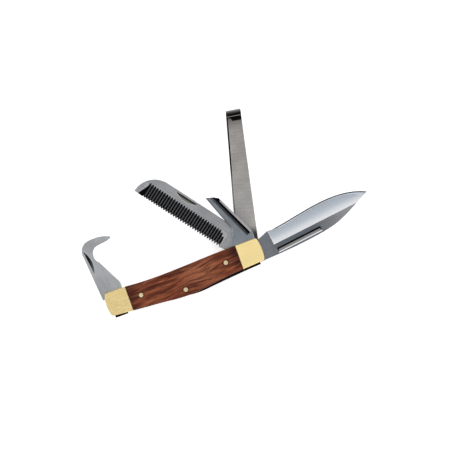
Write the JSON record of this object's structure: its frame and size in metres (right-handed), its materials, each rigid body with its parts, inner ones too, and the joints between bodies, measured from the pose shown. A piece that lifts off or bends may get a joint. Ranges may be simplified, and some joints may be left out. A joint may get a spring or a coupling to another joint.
{
  "type": "folding horse care knife with hoof pick",
  "caption": "Folding pocket knife for horse care: wood scales and brass bolsters, with a hoof pick, leather punch, mane comb, knife blade and hoof knife on pivot pins.",
  "frame": {"origin": "on the flat rear face, midway between the two pivot pins", "axes": "+X along the handle towards the blade end, +Y towards the side where the tools fold out, +Z from the rear face to the front face, along the pivot pins"},
  "size_m": [0.1865, 0.104, 0.019],
  "materials": {
    "rosewood": "oiled, satin",
    "bolster_brass": "polished and lightly brushed",
    "sheet_brass": "mill finish",
    "pin_brass": "peened and polished",
    "spring_steel": "darkened",
    "blade_steel": "mirror-polished grind, satin flats",
    "comb_steel": "satin, with blackened gullets",
    "tool_steel": "satin",
    "hoof_knife_steel": "crosswise brushed"
  },
  "bodies": {
    "handle": {"front_scale": "rosewood", "rear_scale": "rosewood", "pick_end_bolster_front": "bolster_brass", "pick_end_bolster_rear": "bolster_brass", "blade_end_bolster_front": "bolster_brass", "blade_end_bolster_rear": "bolster_brass", "front_liner": "sheet_brass", "rear_liner": "sheet_brass", "divider_punch_to_comb": "sheet_brass", "divider_comb_to_blade": "sheet_brass", "divider_blade_to_hoof_knife": "sheet_brass", "spring_pin": "pin_brass", "front_scale_rivets": "pin_brass", "rear_scale_rivets": "pin_brass", "blade_end_pivot_pin": "pin_brass", "pick_end_pivot_pin": "pin_brass", "punch_and_pick_spring": "spring_steel", "comb_spring": "spring_steel", "blade_spring": "spring_steel", "hoof_knife_spring": "spring_steel"},
    "main_blade": {"main_blade": "blade_steel"},
    "mane_comb": {"mane_comb": "comb_steel"},
    "leather_punch": {"leather_punch": "tool_steel"},
    "hoof_knife": {"hoof_knife": "hoof_knife_steel"},
    "hoof_pick": {"hoof_pick": "tool_steel"}
  },
  "joints": [
    {"name": "main_blade_fold", "type": "hinge", "parent": "handle", "child": "main_blade", "pos_m": [0.04555, 0, 0.0079], "axis": [0, 0, 1], "range_deg": [0, 166.5]},
    {"name": "mane_comb_fold", "type": "hinge", "parent": "handle", "child": "mane_comb", "pos_m": [0.04555, 0, 0.0107], "axis": [0, 0, 1], "range_deg": [-120, 49]},
    {"name": "leather_punch_fold", "type": "hinge", "parent": "handle", "child": "leather_punch", "pos_m": [0.04555, 0, 0.0136], "axis": [0, 0, 1], "range_deg": [-108, 62]},
    {"name": "hoof_knife_fold", "type": "hinge", "parent": "handle", "child": "hoof_knife", "pos_m": [0.04555, 0, 0.0051], "axis": [0, 0, 1], "range_deg": [-70, 97]},
    {"name": "hoof_pick_fold", "type": "hinge", "parent": "handle", "child": "hoof_pick", "pos_m": [-0.04555, 0, 0.0136], "axis": [0, 0, 1], "range_deg": [-82, 82]}
  ]
}
